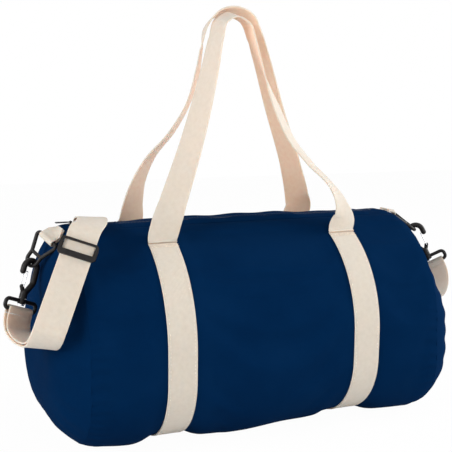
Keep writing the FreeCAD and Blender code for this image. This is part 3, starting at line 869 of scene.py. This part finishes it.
for name, sign in (("front", -1.0), ("rear", 1.0)):

    def lip_place(u, v):
        return on_top(sign * u, v, puff(u, v))

    columns = marks(0.0026, lip_near, lip_hem, lip_far)
    lip = flat_cloth(name + "_lip_canvas", columns, marks(0.0078, lip_left, lip_right), lip_place)
    if sign > 0:
        flip(lip)
    canvas_layers(lip)
    round_edges(lip, 0.0004)
    smooth(lip)
    body = name + "_lip"
    sew_in(lip, body, name + "_lip")
    tape = zip_tape(name + "_tape_cloth", sign, lip_left, lip_right)
    sew_in(tape, body, name + "_zip_tape")
    coil = zip_coil(name + "_coil_teeth", sign, lip_left, lip_right)
    sew_in(coil, body, name + "_zip_coil")
    rows = []
    for y in seam_lines:
        for x in marks(0.0042, lip_left + 0.003, lip_right - 0.003):
            at = on_top(sign * y, x, 0.0002 + puff(y, x))
            rows.append((at, x_axis, Vector((0.0, sign * y / radius, 1.0))))
    seam = repeat(name + "_lip_stitches", stitch, rows, navy_thread)
    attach(seam, body)
    print(lip.name, "with", len(rows), "stitches")

# %% [markdown]
# Past both ends of the mouth the zip is sewn shut. Its tapes and teeth there don't move, so each kind is
# joined into one object of the bag's own body.

# %% Zip ends
end_spans = ((-0.2338, mouth_left), (mouth_right, 0.2198))
end_kinds = (
    ("tapes", zip_tape, "zip_end_tapes", "zip_tape"),
    ("teeth", zip_coil, "zip_end_coils", "zip_coil"),
)
for kind, make, node, slot in end_kinds:
    ends = [make("part", sign, x0, x1) for x0, x1 in end_spans for sign in (-1.0, 1.0)]
    only(*ends)
    bpy.ops.object.join()
    joined = bpy.context.object
    joined.name = "zip_end_" + kind + "_sewn"
    sew_in(joined, "bag", node)
print("zip ends sewn in")

# %% [markdown]
# ## Bands and handles
# One length of webbing runs up the front, leaves the bag at a row of stitching, makes a loop for the
# hand and comes down to the other band; the rear has the same. The webbing is flat against the bag at
# its foot and turns edge-on towards the crown, as it does when two loops lean together. A bevelled curve
# would round it like a cable, so it is a flat strip carried along stations, each with its own across.

# %% Webbing strips


def open_ends(piece, *ends):
    """Take away the end faces, so that the bevel rounds the two long edges only and cut ends meet cleanly."""

    def at_end(face):
        return any(
            abs(face.normal.dot(along)) > 0.6 and abs((face.center - centre).dot(along)) < 0.001
            for centre, along, across in ends
        )

    delete_faces(piece, at_end)


def strip(name, stations, outer, inner, width=webbing_width):
    """Webbing along (centre, along, across) stations; outer is the finish of the side along x across."""
    run = [0.0]
    for a, b in zip(stations, stations[1:]):
        run.append(run[-1] + (b[0] - a[0]).length)
    where = dict(zip(run, stations))

    def place(u, v):
        centre, along, across = where[v]
        return centre - across * u

    columns = marks(width / 6, -width / 2, width / 2)
    piece = flat_cloth(name, columns, run, place)
    wear(piece, outer, inner)
    offsets = {"material_offset": 1, "material_offset_rim": 1 if inner is webbing_face else 0}
    apply_modifier(piece, "SOLIDIFY", thickness=webbing_thick, offset=0.0, **offsets)
    open_ends(piece, stations[0], stations[-1])
    round_edges(piece, 0.0006)
    edit(piece, lambda: bpy.ops.mesh.select_all(action="SELECT"), lambda: bpy.ops.mesh.fill_holes(sides=0))
    smooth(piece, 40.0)
    piece["run"] = run[-1]
    return piece


def with_directions(points, across):
    """Stations from points, each with the direction between its neighbours."""
    rows = []
    for k, point in enumerate(points):
        ahead = points[min(k + 1, len(points) - 1)]
        behind = points[max(k - 1, 0)]
        rows.append((point, (ahead - behind).normalized(), across))
    return rows


band_arcs = marks(0.006, bartack_arc + 0.001, girth - bartack_arc - 0.001)
for side, sign in (("left", -1.0), ("right", 1.0)):
    points = []
    for arc in band_arcs:
        point, normal = outline(arc)
        points.append(point - normal * (band_depth(arc) + webbing_thick / 2) + x_axis * (sign * band_middle))
    band = strip(side + "_band_webbing", with_directions(points, x_axis), webbing_face, webbing_painted_blush)
    sew_in(band, "bag", side + "_band")
    print(band.name, "length", round(band["run"], 3))

# %% [markdown]
# ### The handles' own routes
# Nobody arranges a handle: it falls where the webbing lets it. The middle line of each handle is a smooth
# curve through a few rows, each with a share of the way to a band, a share of the rise and how far the
# webbing has turned there. Straight legs would be simpler, but the sway is what makes them look soft.

# %% Curves through rows


def hermite(p0, m0, p1, m1, t):
    a = 2 * t ** 3 - 3 * t ** 2 + 1
    b = t ** 3 - 2 * t ** 2 + t
    return p0 * a + m0 * b + p1 * (1 - a) + m1 * (t ** 3 - t ** 2)


def course(route, first, last, steps=7):
    """Stations along a smooth curve through (point, across, spread) rows; each span has the same steps."""
    points = [row[0] for row in route]
    sides = [Vector(row[1]) for row in route]
    chords = [(b - a).length for a, b in zip(points, points[1:])]
    slopes = [first.normalized()]
    for k in range(1, len(points) - 1):
        before = (points[k] - points[k - 1]) * (chords[k] / chords[k - 1])
        after = (points[k + 1] - points[k]) * (chords[k - 1] / chords[k])
        slopes.append((before + after) / (chords[k - 1] + chords[k]))
    slopes.append(last.normalized())
    out = []
    for k, chord in enumerate(chords):
        ends = points[k], slopes[k] * chord, points[k + 1], slopes[k + 1] * chord
        for j in range(steps + (k == len(chords) - 1)):
            t = j / steps
            p = hermite(*ends, t)
            along = (hermite(*ends, t + 1e-4) - p).normalized()
            across = sides[k] * (1 - t) + sides[k + 1] * t
            across = (across - along * across.dot(along)).normalized()
            out.append((p, along, across, route[k][2] * (1 - t) + route[k + 1][2] * t))
    return out


def layer(stations, side):
    """One of two layers that lie off the middle line by the spread."""
    return [
        (p + along.cross(across) * (side * spread), along, across)
        for p, along, across, spread in stations
    ]


print("half way along a straight course", hermite(0.0, 1.0, 1.0, 1.0, 0.5))

# %% [markdown]
# Both handles are made as front handles. The rear one is then turned half a turn about the upright axis,
# which swaps its legs, so its rows start at the foot that ends up on the right.

# %% Handles
handle_rise = 0.304
crown_apart = 0.014
crown_roll = 26.0
hinge_reach = radius + 0.0014
hinge_y = hinge_reach * math.sin(tack_angle)
hinge_z = axis_height + hinge_reach * math.cos(tack_angle)
tilt = (hinge_y - crown_apart) / handle_rise
leg_up = Vector((0.0, tilt, math.sqrt(1 - tilt * tilt)))
leg_out = Vector((0.0, -leg_up.z, leg_up.y))
foot = Vector((0.0, -hinge_y, hinge_z))
front_route = [
    (-1.0, 0.0, 0), (-0.965, 0.05, 10), (-0.865, 0.155, 38), (-0.63, 0.4, 54), (-0.37, 0.725, 74),
    (-0.27, 0.87, 84), (-0.2, 0.945, 88), (-0.07, 0.976, 90), (0.07, 0.94, 88), (0.135, 0.86, 82),
    (0.235, 0.72, 66), (0.35, 0.565, 50), (0.5, 0.415, 47), (0.69, 0.31, 46), (0.93, 0.2, 48),
    (1.035, 0.11, 34), (1.05, 0.05, 14), (1.0, 0.0, 0),
]
rear_route = [
    (-1.0, 0.0, 0), (-1.045, 0.06, 23), (-1.01, 0.125, 46), (-0.89, 0.28, 60), (-0.615, 0.565, 70),
    (-0.39, 0.815, 79), (-0.3, 0.905, 85), (-0.19, 0.975, 88), (-0.03, 1.0, 90), (0.15, 0.985, 88),
    (0.262, 0.925, 80), (0.295, 0.83, 66), (0.32, 0.73, 61), (0.41, 0.575, 60), (0.57, 0.45, 54),
    (0.81, 0.32, 47), (0.92, 0.215, 40), (0.97, 0.11, 26), (0.985, 0.03, 9), (1.0, 0.0, 0),
]


def handle_foot(x, sign):
    """Two stations on the band under the stitching, where the webbing is still flat on the bag."""
    rows = []
    for arc in (bartack_arc + 0.0035, bartack_arc + 0.0012):
        point, normal = outline(arc)
        point = point + normal * (webbing_thick / 2 - 0.0004) + x_axis * x
        rows.append((point, leg_up * sign, x_axis * sign))
    return rows


def handle_stations(route):
    """A handle at the front of the bag, from its left foot to its right foot."""
    top = max(range(len(route)), key=lambda k: route[k][1])
    rows = []
    for k, (x, height, degrees) in enumerate(route):
        turn = math.radians(degrees)
        roll = math.radians(crown_roll * height ** 3)
        side = 1.0 if k < top else -1.0
        across = (leg_out * math.cos(roll) - leg_up * math.sin(roll)) * math.sin(turn)
        across = across + x_axis * (side * math.cos(turn))
        rows.append((foot + x_axis * (x * band_middle) + leg_up * (height * handle_rise), across, 0.0))
    legs = layer(course(rows, leg_up, leg_up * -1, 8), 0.0)
    return handle_foot(-band_middle, 1.0) + legs + handle_foot(band_middle, -1.0)[::-1]


about = Vector((-1.0, -1.0, 1.0))
front_rows = handle_stations(front_route)
rear_rows = [tuple(v * about for v in row) for row in handle_stations(rear_route)]
for name, stations in (("front", front_rows), ("rear", rear_rows)):
    # The handles' visible inner side wears the webbing with the painted warm blush.
    handle = strip(name + "_handle_webbing", stations, webbing_painted_blush, webbing_face)
    way = 1.0 if name == "front" else -1.0
    lift = Vector((0.0, leg_up.y * way, leg_up.z))
    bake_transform(handle)
    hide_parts(name + "_handle")
    print(handle.name, "length", round(handle["run"], 3))

# %% [markdown]
# ## Stitching on the handles
# Close rows of thread hold the handles where they leave the bag. They take the whole pull of the load,
# so they run right across the webbing. A paler row follows each edge of the bands.

# %% Handle stitching
tack_lines = 4
tack_gap = 0.0018
tack_half = 0.0175
edge_line = 0.0160
edge_start = 0.016
rows = []
for sign in (-1.0, 1.0):
    for way in (1.0, -1.0):
        for line in range(tack_lines):
            arc = bartack_arc + 0.0050 + tack_gap * line
            point, normal = outline(arc if way > 0 else girth - arc)
            lift = 0.0001 - band_depth(arc)
            for x in marks(0.0026, -tack_half, tack_half):
                shift = 0.0008 if line % 2 else -0.0005
                at = point + normal * lift + x_axis * (sign * band_middle + x + shift)
                rows.append((at, x_axis, normal))
tacks = repeat("handle_stitches", stitch, rows, sewing_thread)
sew_in(tacks, "bag", "handle_stitching")
rows = []
for sign in (-1.0, 1.0):
    for edge in (-edge_line, edge_line):
        for arc in marks(0.0046, bartack_arc + edge_start, girth - bartack_arc - edge_start):
            point, normal = outline(arc)
            down = Vector((0.0, -normal.z, normal.y))
            at = point + normal * (0.00005 - band_depth(arc)) + x_axis * (sign * band_middle + edge)
            rows.append((at, down, normal))
edging = repeat("band_stitches", stitch, rows, pale_thread)
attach(edging, "bag")
print("stitches along the bands", len(rows))

# %% [markdown]
# ## Tabs and shoulder strap
# At each end of the zip a short tab of webbing holds a ring. The strap starts at the adjuster's middle
# bar, goes round the left loop, back through the adjuster, over the bag and behind it to the right loop.
# Its ends hang from swivelling hooks, and each hanging length is cut in three.

# %% Tabs and the clips' axes
tab_width = 0.025
tab_reach = 0.0105
bar_bend = 0.0038
eye_drop = 0.0315
crook_out = 0.0095
crook_down = 0.0039
hook_length = 0.054


def clip_axes(sign, tab, across, hang_way, turn_degrees, tip_degrees):
    """The middle, direction and up of the bar of the loop that hangs from a tab's ring and hook."""
    ring_up = (across * hang_way.dot(across) - hang_way).normalized()
    turn, tip = math.radians(turn_degrees), math.radians(tip_degrees)
    out = Vector((sign * math.cos(turn), -math.sin(turn), 0.0))
    hook_up = z_axis * math.cos(tip) - out * math.sin(tip)
    bar_way = out * math.cos(tip) + z_axis * math.sin(tip)
    face = across.cross(ring_up)
    pull = (face * face.dot(hook_up) - hook_up).normalized()
    crook = tab - ring_up * eye_drop + pull * crook_out - hook_up * crook_down
    return crook - hook_up * hook_length, bar_way, hook_up


def bend(middle, first, second, reach, start, end, steps):
    """Points on an arc about a middle, from the start angle to the end angle in degrees."""
    points = []
    for k in range(steps + 1):
        angle = math.radians(start + (end - start) * k / steps)
        points.append(middle + first * (reach * math.cos(angle)) + second * (reach * math.sin(angle)))
    return points


def tab_stations(sign, tab, across):
    """Webbing from the end seam, round the ring's bar and back to the seam."""
    seam = Vector((sign * (half_length + 0.0029), tab.y, on_top(tab.y, 0.0).z - 0.001))
    flap = (seam - tab).normalized()
    level = Vector((0.0, -1.0, 0.0))
    normal = across.cross(flap).normalized()
    rise = level.cross(flap).normalized()
    points = [(seam + rise * 0.0012, level), (tab + flap * tab_reach + normal * 0.0014, across)]
    points += [(p, across) for p in bend(tab, flap, normal, bar_bend, 52.0, 308.0, 14)]
    points += [(tab + flap * tab_reach - normal * 0.0014, across), (seam - rise * 0.0012, level)]
    rows = with_directions([p for p, a in points], across)
    return [(p, along, a) for (p, along, old), (q, a) in zip(rows, points)]


left_tab = (-half_length - 0.0205, -0.016, 0.266)
right_tab = (half_length + 0.018, 0.0, 0.272)
tab_rows = (
    ("left", -1.0, left_tab, (0.40, -0.80, -0.45), (-0.54, 0.11, -0.83), 28.0, 21.0),
    ("right", 1.0, right_tab, (-0.53, -0.848, 0.0), (0.686, -0.429, -0.588), 32.0, 27.0),
)
clips = {}
for side, sign, tab, across, hang_way, turn, tip in tab_rows:
    tab = Vector(tab)
    across = Vector(across).normalized()
    clips[side] = clip_axes(sign, tab, across, Vector(hang_way), turn, tip)
    way = tab_stations(sign, tab, across)
    roll = strip(side + "_tab_webbing", way, webbing_face, webbing_painted_blush, width=tab_width)
    sew_in(roll, "bag", side + "_tab")
    print(roll.name, "length", round(roll["run"], 3))

# %% [markdown]
# The strap's route is counted in widths of webbing from the loops and from the bag, as a hand would measure
# it. At each loop the webbing folds over the bar, and that fold turns with the loop.

# %% Folds over the loops
fold_leg = 0.006
fold_end = 0.0063


def widths(x, y, z):
    """A step counted in widths of webbing."""
    return Vector((x, y, z)) * webbing_width


# By default a strap's outer side wears the webbing with the painted warm blush.
def strap(name, stations, nodes, held, outer=webbing_painted_blush, inner=webbing_face):
    piece = strip(name, stations, outer, inner)
    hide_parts(*nodes)
    return piece


def fold_stations(bar, across, up):
    """Webbing over a loop's bar: up one side, round, and down the other."""
    through = up.cross(across)
    points = [bar + through * bar_bend - up * fold_leg]
    points += bend(bar, through, up, bar_bend, 0.0, 180.0, 12)
    points.append(bar - through * bar_bend - up * fold_leg)
    return with_directions(points, across)


left_bar, left_across, left_up = clips["left"]
right_bar, right_across, right_up = clips["right"]
for side in ("left", "right"):
    faces = (webbing_painted_blush, webbing_face) if side == "left" else (webbing_face, webbing_painted_blush)
    nodes = ["strap_" + side + "_fold"]
    turn = strap("strap_" + side + "_turn", fold_stations(*clips[side]), nodes, "folded", *faces)
    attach(turn, side + "_loop")
    print(turn.name, "length", round(turn["run"], 3))

# %% [markdown]
# The front run is straight from the left drop up to the adjuster, where the webbing ends: a tail comes up
# behind the run and turns round the adjuster's middle bar. The turn round the bar moves with the adjuster.

# %% Tail behind the front run
layer_gap = 0.0056
tail_bend = 0.0033
run_top = Vector((-half_length - 0.0045, 0.0375 - radius, top_z - 0.0159))
run_foot = Vector((-half_length - 0.0446, 0.0085 - radius, top_z - 0.0971))
run_down = (run_foot - run_top).normalized()
run_tilt = Vector((0.93, -0.30, -0.20))
run_across = (run_tilt - run_down * run_tilt.dot(run_down)).normalized()
run_out = run_down.cross(run_across)
bar_middle = run_top - run_out * layer_gap
run_start = run_top - run_down * 0.020
run_cut = run_top + run_down * 0.0075


def straight(a, b, across):
    return with_directions([a.lerp(b, k / 8) for k in range(9)], across)


tail_top = bar_middle + run_down * 0.0066
tail_foot = run_foot - run_out * layer_gap
tail_faces = (webbing_face, webbing_painted_blush)
tail_way = straight(tail_top, tail_foot, run_across)
tail = strap("strap_tail_run", tail_way, ["strap_tail"], "hung", *tail_faces)
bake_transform(tail)
points = [tail_top, bar_middle + run_down * 0.0048 + run_out * 0.0008]
points += bend(bar_middle, run_down, run_out, tail_bend, 35.0, 325.0, 14)
tail_way = with_directions(points, run_across)
turn = strap("strap_tail_turn", tail_way, ["strap_tail_end"], "folded", *tail_faces)
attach(turn, "adjuster")
print("tail of", round(tail["run"], 3))

# %% [markdown]
# The left drop is doubled: both layers follow one middle line, a little apart. Each layer is cut in three
# along its way from the loop past the hook and the ring to the bag.

# %% Left drop and front run
run_middle = run_foot - run_out * (layer_gap / 2)
left_route = [
    (left_bar - left_up * fold_end, -left_across, bar_bend),
    (left_bar + widths(-0.13, -0.26, -0.58), -left_across, 0.0026),
    (left_bar + widths(0, -0.76, -0.79), (0.92, 0.30, -0.22), 0.0019),
    (left_bar + widths(0.22, -1.53, -0.84), (0.98, 0.10, -0.17), 0.0019),
    (run_middle + widths(-0.13, 0.34, -0.55), (0.93, -0.18, -0.25), 0.0022),
    (run_middle, run_across, layer_gap / 2),
]
drop = course(left_route, left_up * -1, run_down * -1)


def hang(name, stations, cuts, bodies, node, more=()):
    """A hanging length in three pieces, cut at the given stations."""
    for k, (first, last, a, b) in enumerate(zip(cuts, cuts[1:], bodies, bodies[1:])):
        span = stations[first : last + 1]
        start, end = span[0][0], span[-1][0]
        nodes = [node]
        if more and k == 2:
            span = span + more[0]
            nodes = nodes + more[1]
        piece = strap(name + "_" + str(k + 1), span, nodes, "hung")
        start.lerp(end, 0.14)
        start.lerp(end, 0.86)
        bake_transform(piece)


left_bodies = ("left_loop", "left_hook", "left_ring", "bag")
up_the_run = straight(run_foot, run_cut, run_across)[1:]
for name, side in (("inner", 1.0), ("outer", -1.0)):
    span = layer(drop, side)
    more = (up_the_run, ["strap_front_run"]) if name == "outer" else ()
    hang("strap_left_" + name, span, (0, 8, 17, len(span) - 1), left_bodies, "strap_left_drop_" + name, more)
print("left drop of", len(drop), "stations")

# %% [markdown]
# The rest of the strap is one smooth curve: over the top, down behind the bag in a slack bow, and up to the
# right loop. Its last part hangs from the right clip and is cut in three.

# %% Strap over the top, behind the bag and up to the right loop
left_top = Vector((-half_length, 0.0, top_z))
left_floor = Vector((-half_length, radius, 0.0))
right_floor = Vector((half_length, radius, 0.0))
shoulder = (radius + 0.315 * webbing_width) * math.sqrt(0.5)
right_side = right_across.cross(right_up) * bar_bend
behind_left = Vector((-half_length, shoulder, axis_height + shoulder))
above_start = Vector((run_start.x, run_start.y, top_z))
rear_floor = Vector((0.0, radius, 0.0))
over = [
    (run_start, run_across),
    (above_start + widths(0.47, 0.79, 0.29), (0.90, -0.40, -0.12)),
    (left_top + widths(1, 0, 0.22), (0.92, -0.38, 0.0)),
    (left_top + widths(1.26, 1.32, -0.05), (0.95, -0.28, 0.06)),
    (behind_left + widths(1.5, 0, 0), (0.97, -0.20, 0.10)),
    (left_floor + z_axis * axis_height + widths(1.74, 0.29, 1), (0.97, -0.05, 0.20)),
    (left_floor + widths(2.21, 0.68, 2.32), (0.72, 0.62, 0.30)),
    (left_floor + widths(3.68, 1, 1.16), (0.20, 0.95, 0.20)),
    (rear_floor + widths(-0.53, 1.1, 0.84), (0.0, 1.0, 0.05)),
    (right_floor + widths(-3.29, 1.08, 1.05), (0.08, 0.97, 0.22)),
    (right_floor + widths(-0.89, 0.89, 1.53), (0.28, 0.84, 0.46)),
    (right_floor + widths(1, -0.21, 2.08), (0.54, 0.62, 0.56)),
    (right_floor + widths(1.79, -2.08, 2.58), (0.78, 0.36, 0.50)),
    (right_bar + widths(0.1, 1, -2), (0.90, 0.05, 0.42)),
    (right_bar + widths(0.21, 0.1, -1.37), (0.84, -0.30, 0.45)),
    (right_bar - right_up * fold_end + right_side, right_across),
]
steps = 9
drop_start = 11 * steps
whole = layer(course([(p, a, 0.0) for p, a in over], run_down * -1, right_up, steps), 0.0)
lead_in = straight(run_cut, run_start, run_across)[:-1]
laid_nodes = ["strap_top_run", "strap_rear_run"]
round_the_bag = strap("strap_round_bag", lead_in + whole[: drop_start + 1], laid_nodes, "laid")
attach(round_the_bag, "bag")
right_bodies = ("bag", "right_ring", "right_hook", "right_loop")
drop = whole[drop_start:]
hang("strap_right", drop, (0, 18, 27, len(drop) - 1), right_bodies, "strap_right_drop")
print("strap round the back to the right loop, length", round(round_the_bag["run"], 3))
